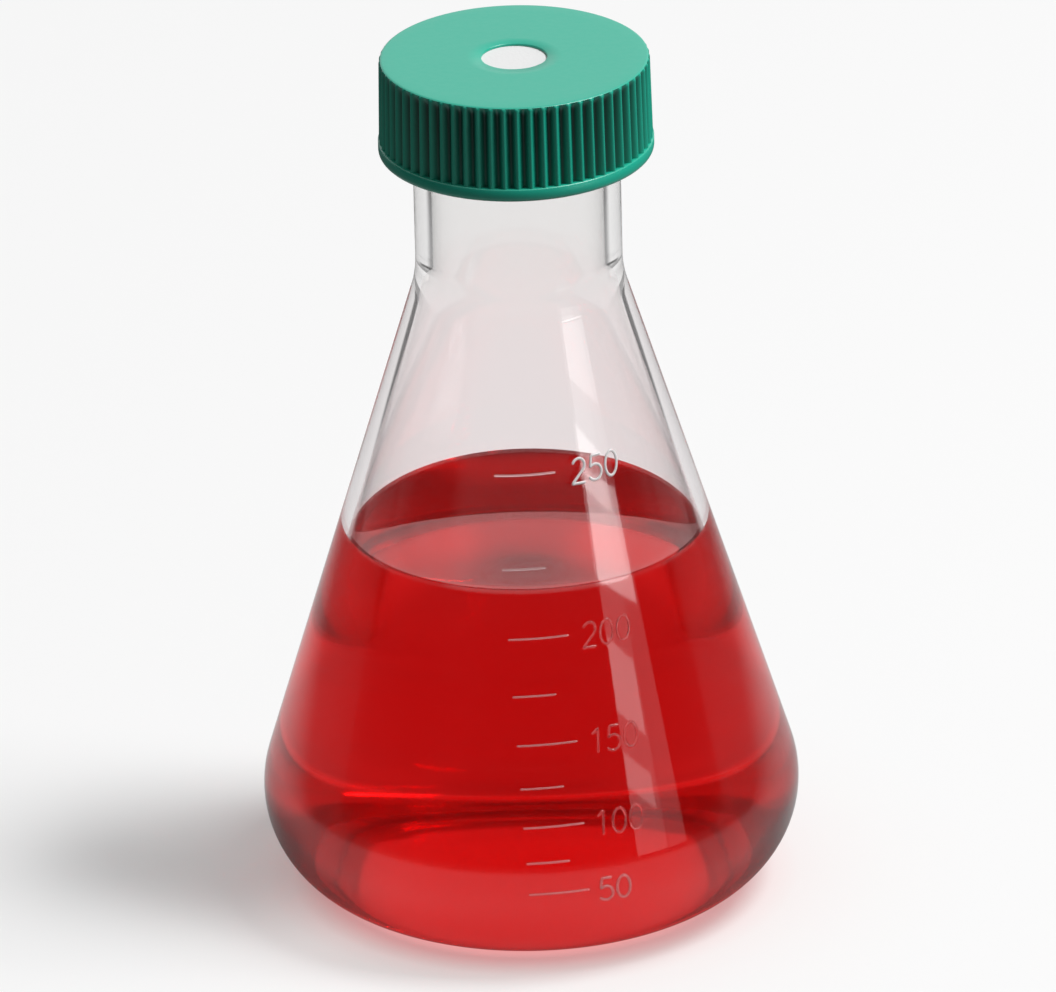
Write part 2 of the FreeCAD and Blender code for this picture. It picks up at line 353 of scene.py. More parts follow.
@dataclass(frozen=True)
class MouldedPlastic(Finish):
    """Opaque moulded plastic, or felt, with a fine grain."""

    colour: Triple = (0.5, 0.5, 0.5)
    roughness: float = 0.38
    roughness_spread: float = 0.05
    gloss: float = 0.5
    grain: float = 0.03
    grain_size: float = 900.0
    grain_detail: float = 3.0
    grain_depth: float = 0.0005

    def colouring(self, graph: Graph, place: Socket) -> object:
        """The surface's colour, or the output socket that gives it."""
        return (*self.colour, 1)

    def nodes(self, graph: Graph) -> None:
        """A coloured surface whose slope, and roughness if it has a spread, vary a little.

        Args:
            graph: the material's node graph.
        """
        place = graph.place()
        grain = {"Vector": place, "Scale": self.grain_size, "Detail": self.grain_detail}
        noise = graph.add("TexNoise", grain).outputs["Fac"]
        rough, spread = self.roughness, self.roughness_spread
        if spread:
            rough = graph.blend(noise, rough - spread, rough + spread)
        bump = graph.add("Bump", {"Height": noise, "Strength": self.grain, "Distance": self.grain_depth})
        surface = graph.add("BsdfPrincipled", {
            "Base Color": self.colouring(graph, place), "Roughness": rough, "Specular IOR Level": self.gloss,
            "Normal": bump.outputs["Normal"]})
        graph.end(surface)


@dataclass(frozen=True)
class RibbedPlastic(MouldedPlastic):
    """Moulded plastic with painted shade at the bottom of the grooves between ribs."""

    root: float = 0.0202
    crest: float = 0.021
    bore: float = 0.0193
    top: float = 0.1388
    top_fade: float = 0.0012
    shade: float = 0.15

    def colouring(self, graph: Graph, place: Socket) -> object:
        """The colour times a share that rises from painted shade at the grooves' roots to full at the crests.

        The share is full inside the bore and on the top.

        Args:
            graph: the material's node graph.
            place: its coordinates.
        Returns:
            The output socket that gives the colour.
        """
        height = graph.parts(place)[2]
        away = graph.vector("LENGTH", graph.vector("MULTIPLY", place, (1, 1, 0)))
        # painted shade: the colour falls to the shade share at the grooves' roots
        depth = graph.span(away, self.root, self.crest, self.shade, 1.0)
        within = graph.math("LESS_THAN", away, self.bore)
        above = graph.span(height, self.top - self.top_fade, self.top)
        share = graph.math("MAXIMUM", depth, graph.math("MAXIMUM", within, above))
        colour = graph.add("VectorMath", {0: self.colour, "Scale": share}, operation="SCALE")
        return colour.outputs["Vector"]


PALE = (0.95, 0.93, 0.93)
PINK = (0.8, 0.55, 0.55)
WHITE = (0.75, 0.75, 0.75)
CLEAR = ClearPlastic("clear_plastic", "clear_plastic")
INNER = ClearPlastic("inner_plastic", "clear_plastic", gloss=0.45)
WETTED = ClearPlastic("wetted_plastic", "clear_plastic", gloss=0.03, roughness=0.06)
TICK = ClearPlastic("scale_tick", "clear_plastic", PALE, PALE, index=1.5, roughness=0.25, clearness=0.9)
NUMBER = ClearPlastic("scale_number", "clear_plastic", PINK, PINK, index=1.5, roughness=0.05)
TOP_NUMBER = ClearPlastic(
    "scale_top_number", "clear_plastic", PALE, PALE, index=1.5, roughness=0.4, clearness=0.3)
LIQUID = ClearLiquid("red_liquid", "red_liquid")
# the cap's green, with painted shade at the roots of its grooves
CAP_GREEN = RibbedPlastic("cap_green", "green_cap", (0.008, 0.385, 0.265), roughness=0.34, gloss=0.62)
MEMBRANE = MouldedPlastic(
    "filter_membrane", "white_membrane", WHITE, roughness=0.85, roughness_spread=0.0, grain=0.15,
    grain_size=1800.0, grain_detail=4.0, grain_depth=0.0003)
RETAINER = MouldedPlastic("retainer_white", "white_plastic", WHITE)
LINER = MouldedPlastic("liner_rubber", "liner_rubber", (0.6, 0.6, 0.58), roughness=0.7)


def placed(piece: bpy.types.Object, finish: Finish, body: Body, node: str) -> bpy.types.Object:
    """Gives a piece its finish, the body that it moves with and the node that it stands for.

    Args:
        piece: the new object.
        finish: its finish.
        body: the body that it rides on.
        node: the node of the part that it replaces.
    Returns:
        The same object.
    """
    piece.data.materials.append(finish.material())
    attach(piece, body.value)
    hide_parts(node)
    return piece


@dataclass(frozen=True)
class Detail:
    """How finely surfaces are divided: points on each stretch of an outline, and steps.

    Steps round the axis are in degrees, and those up the thread and along a stroke in mm.
    """

    dome: int = 14
    flat: int = 3
    heel: int = 30
    cone: int = 30
    shoulder: int = 18
    neck: int = 6
    lip: int = 6
    liquid_cone: int = 18
    liquid_edge: int = 14
    skirt: int = 8
    skirt_end: int = 9
    cap_edge: int = 9
    cap_top: int = 8
    bore: int = 34
    per_rib: int = 12
    disc: int = 6
    glyph_arc: int = 17
    stroke_round: int = 12
    stroke_least: int = 8
    stroke_step: float = 0.14
    thread_step: float = 0.25
    flask_turn: float = 1.5
    disc_turn: float = 4.0
    ring_turn: float = 3.0
    volume_slices: int = 4001


DETAIL = Detail()


@dataclass(frozen=True)
class FlaskSizes:
    """Sizes of the flask's shell."""

    body_radius: float = 42.0
    heel_radius: float = 16.5
    neck_radius: float = 16.1
    shoulder_height: float = 103.2
    shoulder_radius: float = 18.0
    inner_shoulder_radius: float = 9.0
    height: float = 136.0
    wall: float = 1.9
    neck_wall: float = 2.7
    base: float = 3.0
    punt_radius: float = 22.0
    punt_rise: float = 3.0
    lip_round: float = 0.7


@dataclass(frozen=True)
class ThreadSizes:
    """Sizes of the screw thread between neck and cap."""

    pitch: float = 4.23
    depth: float = 1.25
    base_width: float = 2.7
    crest_width: float = 1.2
    neck_turns: float = 1.75
    neck_below_lip: float = 2.4
    neck_start: float = np.pi / 2
    cap_turns: float = 1.5
    cap_above_rim: float = 2.4
    run_out: float = 0.06

    def neck_bottom(self, lip: float) -> float:
        """Height of the middle of the neck's ridge at its start, below a lip at a given height."""
        return lip - self.neck_below_lip - self.neck_turns * self.pitch

    def ridge(self, azimuth: Array, height: Array, bottom: float, turns: float, start: float) -> Array:
        """How far a ridge stands out, as a share of its depth.

        The ridge's middle climbs one pitch per turn from its bottom height at its start azimuth. A point
        is on the crest within half the crest width of it, and on the root beyond half the base width.

        Args:
            azimuth: azimuths in radians.
            height: heights in mm.
            bottom: height of the ridge's middle at its start.
            turns: how many turns it runs.
            start: azimuth of its start in radians.
        Returns:
            Shares from 0 on the root to 1 on the crest.
        """
        best = np.zeros(np.broadcast(azimuth, height).shape)
        turn = ((azimuth - start) / (2 * np.pi)) % 1.0
        for lap in range(math.ceil(turns) + 1):
            along = turn + lap
            away = np.abs(height - bottom - self.pitch * along)
            share = 1 - smooth(self.crest_width / 2, self.base_width / 2, away)
            ends = smooth(0, self.run_out, along) * smooth(0, self.run_out, turns - along)
            best = np.maximum(best, share * ends)
        return best


class Wall:
    """The shell's outline at one depth inside its outer surface.

    The cone's line runs through the sharp corner under the neck and touches the heel's arc. An inset
    outline keeps parallel to it, and its heel touches its own floor.
    """

    def __init__(self, sizes: FlaskSizes, inset: float, floor: float, neck_inset: float) -> None:
        """Works out the centres and touching points.

        Args:
            sizes: the flask's sizes.
            inset: depth of this outline inside the outer surface.
            floor: height of this outline's floor.
            neck_inset: depth of this outline inside the neck.
        """
        heel = np.array([sizes.body_radius - sizes.heel_radius, sizes.heel_radius])
        corner = np.array([sizes.neck_radius, sizes.shoulder_height])
        away = corner - heel
        lean = math.atan2(away[1], away[0]) - math.acos(sizes.heel_radius / np.linalg.norm(away))
        self.lean = math.degrees(lean)
        self.normal = np.array([math.cos(lean), math.sin(lean)])
        self.reach = float(heel @ self.normal) + sizes.heel_radius - inset
        self.heel_radius = sizes.heel_radius - inset
        centre_height = floor + self.heel_radius
        centre_radius = (self.reach - self.heel_radius - self.normal[1] * centre_height) / self.normal[0]
        self.heel_centre = np.array([centre_radius, centre_height])
        self.neck_radius = sizes.neck_radius - neck_inset
        self.cone_bottom = self.heel_centre + self.heel_radius * self.normal
        bend = sizes.inner_shoulder_radius if inset else sizes.shoulder_radius
        corner_height = (self.reach - self.normal[0] * self.neck_radius) / self.normal[1]
        self.shoulder_top = corner_height + bend * math.tan(lean / 2)
        shoulder_centre = (self.neck_radius + bend, self.shoulder_top)
        self.shoulder = arc_points(shoulder_centre, bend, 180 + self.lean, 180, DETAIL.shoulder)
        self.cone_top = self.shoulder[0]

    def radius(self, height: Array) -> Array:
        """Radius on the heel and the cone.

        Args:
            height: heights in mm.
        Returns:
            The radius at each height.
        """
        rise = height - self.heel_centre[1]
        heel = self.heel_centre[0] + np.sqrt(np.maximum(self.heel_radius**2 - rise**2, 0))
        cone = (self.reach - self.normal[1] * height) / self.normal[0]
        return np.where(height <= self.cone_bottom[1], heel, cone)

    def outward(self, height: Array) -> tuple[Array, Array]:
        """Outward direction on the heel and the cone.

        Args:
            height: heights in mm.
        Returns:
            The radial and the upward part of the direction at each height.
        """
        on_heel = height <= self.cone_bottom[1]
        aside, rise = self.radius(height) - self.heel_centre[0], height - self.heel_centre[1]
        radial = np.where(on_heel, aside / self.heel_radius, self.normal[0])
        upward = np.where(on_heel, rise / self.heel_radius, self.normal[1])
        return radial, upward

    def heel_points(self, first: float, last: float, count: int) -> Array:
        """Points on the heel's arc between two angles in degrees."""
        return arc_points(self.heel_centre, self.heel_radius, first, last, count)


def dome_points(sizes: FlaskSizes, bottom: float, count: int) -> Array:
    """Points on the pushed-up middle of the base, a piece of a sphere, from near the axis out to its rim.

    Args:
        sizes: the flask's sizes.
        bottom: height of the dome's rim.
        count: number of points.
    Returns:
        Array of (radius, height) rows.
    """
    sphere = (sizes.punt_radius**2 + sizes.punt_rise**2) / (2 * sizes.punt_rise)
    rim = math.degrees(math.asin(sizes.punt_radius / sphere))
    centre = (0.0, bottom + sizes.punt_rise - sphere)
    return arc_points(centre, sphere, 90 - rim / count, 90 - rim, count)


class Glyphs:
    """Stroke digits, one unit tall, each a chain of points that a round tool follows."""

    @staticmethod
    def turn(centre: Pair, radii: Pair, first: float, last: float) -> Array:
        """Points on an elliptical arc between two angles in degrees."""
        angle = np.radians(np.linspace(first, last, DETAIL.glyph_arc))
        return np.column_stack([centre[0] + radii[0] * np.cos(angle), centre[1] + radii[1] * np.sin(angle)])

    @classmethod
    def chain(cls, digit: str) -> Array:
        """The chain of points for a digit of the scale.

        Args:
            digit: one of 0, 1, 2 and 5.
        Returns:
            Array of (x, y) rows, y from 0 at the foot to 1 at the top.
        """
        chains = {
            "0": cls.turn((0.28, 0.5), (0.28, 0.5), 0, 360),
            "1": np.array([[0.1, 0.78], [0.34, 1.0], [0.34, 0.0]]),
            "2": np.vstack([cls.turn((0.28, 0.72), (0.26, 0.28), 165, -40), [[0.0, 0.0], [0.56, 0.0]]]),
            "5": np.vstack([[[0.52, 1.0], [0.1, 1.0], [0.05, 0.53]],
                            cls.turn((0.26, 0.32), (0.3, 0.32), 125, -150)]),
        }
        return chains[digit]


def stroke_skin(chain: Array, width: float, relief: float, rooting: float) -> tuple[Array, bool]:
    """A raised stroke that follows a chain of points on a flat surface.

    Across, the stroke is a half round on top and flat below the surface. At open ends it narrows as a
    circle does, down to a blunt tip.

    Args:
        chain: (x, y) points; a chain that ends where it starts makes a closed stroke.
        width: the stroke's width in mm.
        relief: how far it stands out.
        rooting: how far it reaches below the surface.
    Returns:
        Array of rows, columns and (x, y, out) coordinates, and whether the stroke is closed.
    """
    tip, flat = 0.04, 1e-9
    closed = bool(np.allclose(chain[0], chain[-1]))
    step = np.concatenate([[0], np.cumsum(np.linalg.norm(np.diff(chain, axis=0), axis=1))])
    count = max(int(step[-1] / DETAIL.stroke_step), DETAIL.stroke_least)
    along = np.linspace(0, step[-1], count + 1)
    line = np.column_stack([np.interp(along, step, chain[:, 0]), np.interp(along, step, chain[:, 1])])
    if closed:
        line, along = line[:-1], along[:-1]
        ahead = np.roll(line, -1, axis=0) - np.roll(line, 1, axis=0)
        half = np.full(len(line), width / 2)
    else:
        line[1:-1] = (line[:-2] + 2 * line[1:-1] + line[2:]) / 4
        ahead = np.gradient(line, axis=0)
        reach = np.minimum(np.minimum(along, step[-1] - along) + tip, width / 2)
        half = np.sqrt((width / 2) ** 2 - (width / 2 - reach) ** 2)
    ahead /= np.linalg.norm(ahead, axis=1, keepdims=True)
    turn = np.linspace(0, 2 * np.pi, DETAIL.stroke_round, endpoint=False)
    lateral, rise = np.cos(turn) * half[:, None], np.sin(turn)
    lift = np.where(rise > flat, relief * rise, -rooting * (rise < -flat))
    out = lift * (half[:, None] / (width / 2))
    x = line[:, :1] - ahead[:, 1:] * lateral
    y = line[:, 1:] + ahead[:, :1] * lateral
    return np.stack([x, y, out], axis=-1), closed


@dataclass(frozen=True)
class Scale:
    """The raised scale: ticks at the heights where the flask holds round volumes, and their numbers.

    The scale's left edge and the numbers lean a little to the left going up, and both are tilted.
    Leans and tilts are in degrees.
    """

    volumes: tuple[int, ...] = (50, 75, 100, 125, 150, 175, 200, 225, 250)
    long_tick: float = 9.5
    short_tick: float = 6.8
    tick_width: float = 0.36
    number_height: float = 4.3
    number_left: float = 10.3
    number_lean: float = 2.5
    number_advance: float = 2.85
    stroke: float = 0.46
    relief: float = 0.18
    rooting: float = 0.06
    left: float = -0.8
    lean: float = 3.5
    tilt: float = 2.0
    number_tilt: float = 0.5
    numbered_step: int = 50
    brim: float = 100.0
    sharp_angle: float = 60.0

    def heights(self, inside: Wall, sizes: FlaskSizes) -> Array:
        """Heights at which the inside holds the scale's volumes.

        The inside is summed in thin slices of area pi r squared, less the pushed-up middle of the base.

        Args:
            inside: the inner outline.
            sizes: the flask's sizes.
        Returns:
            One height in mm per volume.
        """
        cubic_mm_per_ml = 1000.0
        level = np.linspace(sizes.base, self.brim, DETAIL.volume_slices)
        area = np.pi * inside.radius(level) ** 2
        held = np.concatenate([[0], np.cumsum((area[1:] + area[:-1]) / 2 * np.diff(level))])
        dome = np.pi * sizes.punt_rise * (3 * sizes.punt_radius**2 + sizes.punt_rise**2) / 6
        return np.interp(np.array(self.volumes) * cubic_mm_per_ml, held - dome, level)

    def laid(self, chain: Array, width: float, mark: float, left: float, tilt: float,
             outside: Wall) -> Skin:
        """A stroke laid on the flask.

        The flat stroke is turned by the tilt. Its x becomes arc length round the flask and its
        y length up the slope, and it stands out along the surface's own outward direction.

        Args:
            chain: (x, y) points of the stroke, x from the scale's left edge.
            width: the stroke's width.
            mark: height that y = 0 lies on.
            left: x of the scale's left edge from the front line.
            tilt: turn in degrees.
            outside: the outer outline.
        Returns:
            Corners in mm and faces.
        """
        flat, closed = stroke_skin(chain, width, self.relief, self.rooting)
        turn = math.radians(tilt)
        across = left + flat[..., 0] * math.cos(turn) - flat[..., 1] * math.sin(turn)
        slope = flat[..., 0] * math.sin(turn) + flat[..., 1] * math.cos(turn)
        height = mark + slope * outside.outward(np.array(mark))[0]
        radius = outside.radius(height)
        azimuth = across / radius
        radial, upward = outside.outward(height)
        radius = radius + flat[..., 2] * radial
        x, y, z = radius * np.sin(azimuth), -radius * np.cos(azimuth), height + flat[..., 2] * upward
        return skin(np.stack([x, y, z], axis=-1), closed)

    def build(self, sizes: FlaskSizes) -> list[bpy.types.Object]:
        """Makes the ticks and the numbers.

        Args:
            sizes: the flask's sizes.
        Returns:
            The three objects.
        """
        outside, inside = Wall(sizes, 0, 0, 0), Wall(sizes, sizes.wall, sizes.base, sizes.neck_wall)
        marks = self.heights(inside, sizes)
        ticks, numbers, frosted = [], [], []
        for volume, mark in zip(self.volumes, marks):
            left = self.left - math.tan(math.radians(self.lean)) * (mark - marks[0])
            numbered = volume % self.numbered_step == 0
            length = self.long_tick if numbered else self.short_tick
            tick = np.array([[0, 0], [length, 0]])
            ticks.append(self.laid(tick, self.tick_width, mark, left, self.tilt, outside))
            start = self.number_left - math.tan(math.radians(self.number_lean)) * (mark - marks[0])
            group = {self.volumes[-1]: frosted, self.volumes[0]: ticks}.get(volume, numbers)
            for place, digit in enumerate(str(volume) if numbered else ""):
                chain = (Glyphs.chain(digit) - [0, 0.5]) * (self.number_height - self.stroke)
                chain = chain + [place * self.number_advance, 0]
                group.append(self.laid(chain, self.stroke, mark, start, self.number_tilt, outside))
        made = (
            ("scale_ticks", ticks, TICK), ("scale_numbers", numbers, NUMBER),
            ("scale_top_number", frosted, TOP_NUMBER))
        return [
            placed(object_from(skins, name, self.sharp_angle), finish, Body.FLASK, "flask_body")
            for name, skins, finish in made]


@dataclass
class Flask:
    """The clear shell, one closed surface from the base's outside over the lip to its inside.

    The faces inside have a finish of their own, and those below the liquid's level another.
    """

    sizes: FlaskSizes = field(default_factory=FlaskSizes)
    level: float = 60.5
    thread: ThreadSizes = field(default_factory=ThreadSizes)
    scale: Scale = field(default_factory=Scale)
    thread_margin: float = 1.6
    mouth_depth: float = 3.0
    sharp_angle: float = 60.0

    def build(self) -> list[bpy.types.Object]:
        """Makes the shell and its scale, and places them.

        Returns:
            The shell and the scale's objects.
        """
        s, d, thread = self.sizes, DETAIL, self.thread
        outside, inside = Wall(s, 0, 0, 0), Wall(s, s.wall, s.base, s.neck_wall)
        bottom = thread.neck_bottom(s.height)
        lip = s.height - s.lip_round
        rows = np.arange(bottom - self.thread_margin, lip, d.thread_step)
        neck = np.column_stack([np.full(len(rows), s.neck_radius), rows])
        below = joined(
            dome_points(s, 0, d.dome),
            line_points((s.punt_radius, 0), outside.heel_points(-90, 0, 2)[0], d.flat),
            outside.heel_points(-90, outside.lean, d.heel),
            line_points(outside.cone_bottom, outside.cone_top, d.cone), outside.shoulder)
        bore = inside.neck_radius
        waterline = (inside.radius(np.array(self.level)), self.level)
        above = joined(
            arc_points((s.neck_radius - s.lip_round, lip), s.lip_round, 0, 90, d.lip),
            arc_points((bore + s.lip_round, lip), s.lip_round, 90, 180, d.lip),
            line_points((bore, s.height - self.mouth_depth), (bore, inside.shoulder_top), d.neck),
            inside.shoulder[::-1], line_points(inside.cone_top, waterline, d.cone // 2),
            line_points(waterline, inside.cone_bottom, d.cone // 2),
            inside.heel_points(inside.lean, -90, d.heel), dome_points(s, s.base, d.dome)[::-1])
        outline = np.vstack([below, neck, above])
        azimuth = round_axis(d.flask_turn)
        radius, height = swept(outline, azimuth)
        threaded = slice(len(below), len(below) + len(neck))
        radius[threaded] += thread.depth * thread.ridge(
            azimuth, height[threaded], bottom, thread.neck_turns, thread.neck_start)
        piece = Turned("flask_shell", radius, height, azimuth, False, self.sharp_angle).build()
        placed(piece, CLEAR, Body.FLASK, "flask_body")
        piece.data.materials.append(INNER.material())
        piece.data.materials.append(WETTED.material())
        inner = np.arange(1, len(outline)) > threaded.stop + 2 * d.lip
        finish = np.concatenate([inner + (inner & (outline[1:, 1] < self.level)).astype(int), [0, 2]])
        piece.data.polygons.foreach_set("material_index", np.repeat(finish, len(azimuth)).astype(np.int32))
        return [piece, *self.scale.build(s)]


@dataclass
class Liquid:
    """The liquid, which wets the wall and climbs it a little at its edge.

    The climb falls off from the wall as an exponential of its width. Towards the middle the surface has
    rows at given shares of the radius.
    """

    sizes: FlaskSizes = field(default_factory=FlaskSizes)
    level: float = 60.5
    overlap: float = 0.06
    climb: float = 0.45
    climb_width: float = 0.8
    climb_widths: float = 6.0
    middle: tuple[float, ...] = (0.4, 0.6, 0.8, 0.97)
    sharp_angle: float = 50.0

    def build(self) -> bpy.types.Object:
        """Makes the liquid's closed surface, which reaches a hair into the wall all round.

        Returns:
            The liquid.
        """
        s, d = self.sizes, DETAIL
        floor = s.base - self.overlap
        wet = Wall(s, s.wall - self.overlap, floor, s.neck_wall)
        edge_height = self.level + self.climb
        edge = float(wet.radius(np.array(edge_height)))
        climbing = np.linspace(0, self.climb_widths * self.climb_width, d.liquid_edge)
        inward = np.concatenate([climbing, edge * np.array(self.middle)])
        top = np.column_stack([edge - inward, self.level + self.climb * np.exp(-inward / self.climb_width)])
        outline = joined(
            dome_points(s, floor, d.dome), wet.heel_points(-90, wet.lean, d.heel),
            line_points(wet.cone_bottom, (edge, edge_height), d.liquid_cone), top)
        azimuth = round_axis(d.flask_turn)
        piece = Turned("liquid", *swept(outline, azimuth), azimuth, False, self.sharp_angle).build()
        return placed(piece, LIQUID, Body.FLASK, "liquid_fill")


def disc(name: str, radius: float, bottom: float, top: float) -> bpy.types.Object:
    """A flat disc about the axis.

    Args:
        name: the object's name.
        radius: its radius in mm.
        bottom: height of its underside.
        top: height of its upper side.
    Returns:
        The new object.
    """
    middle = radius * 0.1
    outline = joined(
        line_points((middle, bottom), (radius, bottom), DETAIL.disc),
        line_points((radius, top), (middle, top), DETAIL.disc))
    azimuth = round_axis(DETAIL.disc_turn)
    return Turned(name, *swept(outline, azimuth), azimuth, ring=False).build()


def flat_ring(name: str, inner: float, outer: float, bottom: float, top: float) -> bpy.types.Object:
    """A flat ring about the axis with slightly broken edges.

    Args:
        name: the object's name.
        inner: inner radius in mm.
        outer: outer radius in mm.
        bottom: height of its underside.
        top: height of its upper side.
    Returns:
        The new object.
    """
    cut = 0.08
    outline = np.array([
        [inner + cut, bottom], [outer - cut, bottom], [outer, bottom + cut], [outer, top - cut],
        [outer - cut, top], [inner + cut, top], [inner, top - cut], [inner, bottom + cut]])
    azimuth = round_axis(DETAIL.ring_turn)
    return Turned(name, *swept(outline, azimuth), azimuth, ring=True).build()


@dataclass(frozen=True)
class CapSizes:
    """Sizes of the cap and what it holds."""

    top: float = 139.2
    ceiling: float = 137.2
    rim: float = 123.6
    bore_radius: float = 17.7
    top_radius: float = 21.0
    rim_radius: float = 21.25
    edge_round: float = 0.6
    band_height: float = 2.2
    band_proud: float = 0.15
    rim_round: float = 0.8
    ribs: int = 64
    rib_phase: float = 0.5
    groove_depth: float = 0.95
    groove_below_top: float = 0.15
    groove_run_out: float = 1.7
    vent_radius: float = 5.1
    vent_edge: float = 0.12
    fine_rows: Pair = (1.6, 1.4)
    edge_start: float = 8.0
    bore_edge: float = 0.3
    membrane_top: float = 138.8
    membrane_radius: float = 8.3
    membrane_thickness: float = 0.3
    seat_radius: float = 8.4
    clearance: float = 0.05
    retainer_bore: float = 5.5
    retainer_radius: float = 8.35
    liner_bottom: float = 136.05
    liner_top: float = 137.15
    liner_overhang: float = 0.8
    liner_gap: float = 0.3


@dataclass
class Cap:
    """The ribbed screw cap with the membrane and its retaining ring."""

    sizes: CapSizes = field(default_factory=CapSizes)
    flask: FlaskSizes = field(default_factory=FlaskSizes)
    thread: ThreadSizes = field(default_factory=ThreadSizes)
    sharp_angle: float = 50.0

    def azimuths(self) -> Array:
        """Columns in radians, the same number for each rib."""
        return np.linspace(0, 2 * np.pi, DETAIL.per_rib * self.sizes.ribs, endpoint=False)

    def groove(self, azimuth: Array, height: Array) -> Array:
        """Depth of the grooves between the ribs.

        Round the cap the depth is a cosine wave, deepest in the middle of each groove. Towards the top
        it runs out along a quarter of an ellipse.

        Args:
            azimuth: azimuths in radians.
            height: heights in mm, at each row and column.
        Returns:
            Depth in mm at each row and column.
        """
        s = self.sizes
        wave = (1 - np.cos(s.ribs * (azimuth - math.radians(s.rib_phase)))) / 2
        down = np.clip((s.top - s.groove_below_top - height) / s.groove_run_out, 0, 1)
        return s.groove_depth * wave * np.sqrt(1 - (1 - down) ** 2)

    def shell(self) -> bpy.types.Object:
        """Makes the cap's closed surface: rim, band, ribbed skirt, top, vent, seat and threaded bore.

        The bore's ridge runs midway between the turns of the neck's.

        Returns:
            The cap.
        """
        s, d, thread = self.sizes, DETAIL, self.thread
        band = s.rim_radius + s.band_proud
        band_top = s.rim + s.band_height
        skirt_top = s.top - s.edge_round
        skirt_rows = np.concatenate([
            np.linspace(band_top, skirt_top - s.fine_rows[0], d.skirt),
            np.linspace(skirt_top - s.fine_rows[1], skirt_top, d.skirt_end)])
        share = (skirt_rows - band_top) / (skirt_top - band_top)
        skirt = np.column_stack([s.rim_radius + (s.top_radius - s.rim_radius) * share, skirt_rows])
        bore = line_points((s.bore_radius, s.ceiling), (s.bore_radius, s.rim), d.bore)
        edge = s.top_radius - s.edge_round
        before = joined(
            line_points((s.bore_radius + s.bore_edge, s.rim), (band - s.rim_round, s.rim), d.flat),
            arc_points((band - s.rim_round, s.rim + s.rim_round), s.rim_round, -90, 0, d.lip),
            line_points((band, band_top - s.band_proud), (s.rim_radius, band_top), d.flat))
        after = joined(
            arc_points((edge, skirt_top), s.edge_round, s.edge_start, 90, d.cap_edge),
            line_points((edge, s.top), (s.vent_radius + s.vent_edge, s.top), d.cap_top),
            line_points((s.vent_radius, s.top - s.vent_edge), (s.vent_radius, s.membrane_top), d.flat),
            line_points((s.seat_radius, s.membrane_top), (s.seat_radius, s.ceiling), d.flat))
        outline = np.vstack([before, skirt, after, bore])
        azimuth = self.azimuths()
        radius, height = swept(outline, azimuth)
        ribbed = slice(len(before), len(before) + len(skirt) + d.cap_edge)
        radius[ribbed] -= self.groove(azimuth, height[ribbed])
        bottom = s.rim + thread.cap_above_rim
        climbed = (bottom - thread.neck_bottom(self.flask.height)) / thread.pitch
        start = thread.neck_start + 2 * np.pi * (climbed + 0.5)
        inner = slice(len(outline) - len(bore), len(outline))
        radius[inner] -= thread.depth * thread.ridge(azimuth, height[inner], bottom, thread.cap_turns, start)
        piece = Turned("cap", radius, height, azimuth, True, self.sharp_angle).build()
        return placed(piece, CAP_GREEN, Body.CAP, "cap_shell")

    def build(self) -> list[bpy.types.Object]:
        """Makes the cap, its membrane, retainer and liner.

        Returns:
            The four objects.
        """
        s = self.sizes
        top = s.membrane_top - s.clearance
        bottom = top - s.membrane_thickness
        membrane = disc("membrane", s.membrane_radius, bottom, top)
        retainer = flat_ring("retainer", s.retainer_bore, s.retainer_radius, s.ceiling, bottom - s.clearance)
        mouth = self.flask.neck_radius - self.flask.neck_wall
        liner = flat_ring(
            "liner", mouth - s.liner_overhang, s.bore_radius - s.liner_gap, s.liner_bottom, s.liner_top)
        return [
            self.shell(),
            placed(membrane, MEMBRANE, Body.CAP, "vent_membrane"),
            placed(retainer, RETAINER, Body.CAP, "membrane_retainer"),
            placed(liner, LINER, Body.SEAL, "seal_liner"),
        ]


@dataclass(frozen=True)
class Viewpoint:
    """The camera, which stands as in the photograph. Angles are in degrees, lens and sensor in mm."""

    target: Triple = (0.0, 0.0, 0.070)
    distance: float = 3.0
    elevation: float = 23.91
    roll: float = 1.38
    lens: float = 655.5
    sensor: float = 36.0
    clip: Pair = (0.05, 60.0)
    aim_right: float = 0.000637
    aim_up: float = -0.00479

    def build(self) -> None:
        """Makes the camera. It looks at a point a little right of and below the target."""
        rise, roll = math.radians(self.elevation), math.radians(self.roll)
        back = Vector((0, -math.cos(rise), math.sin(rise)))
        right, up = Vector((1, 0, 0)), Vector((0, math.sin(rise), math.cos(rise)))
        turned_right = right * math.cos(roll) - up * math.sin(roll)
        turned_up = right * math.sin(roll) + up * math.cos(roll)
        target = Vector(self.target)
        eye = target + back * self.distance
        aim = target + turned_right * self.aim_right + turned_up * self.aim_up
        axis_z = (eye - aim).normalized()
        axis_x = (turned_right - axis_z * turned_right.dot(axis_z)).normalized()
        axis_y = axis_z.cross(axis_x)
        data = bpy.data.cameras.new("camera")
        data.sensor_width, data.lens = self.sensor, self.lens
        data.clip_start, data.clip_end = self.clip
        cam = bpy.data.objects.new("camera", data)
        turn = Matrix((axis_x, axis_y, axis_z)).transposed()
        cam.matrix_world = Matrix.Translation(eye) @ turn.to_4x4()
        bpy.context.scene.collection.objects.link(cam)
        bpy.context.scene.camera = cam


def staged(name: str, corners: Array, faces: list[list[int]]) -> tuple[bpy.types.Object, Graph]:
    """An object of the studio, which isn't part of the flask, with an empty material.

    Args:
        name: name of the object and of its material.
        corners: corners in metres.
        faces: corner numbers of each face.
    Returns:
        The new object, and its material's node graph.
    """
    mesh = bpy.data.meshes.new(name)
    mesh.from_pydata(corners.tolist(), [], faces)
    piece = bpy.data.objects.new(name, mesh)
    bpy.context.scene.collection.objects.link(piece)
    made = bpy.data.materials.new(name)
    made.use_nodes = True
    mesh.materials.append(made)
    return piece, Graph(made.node_tree)


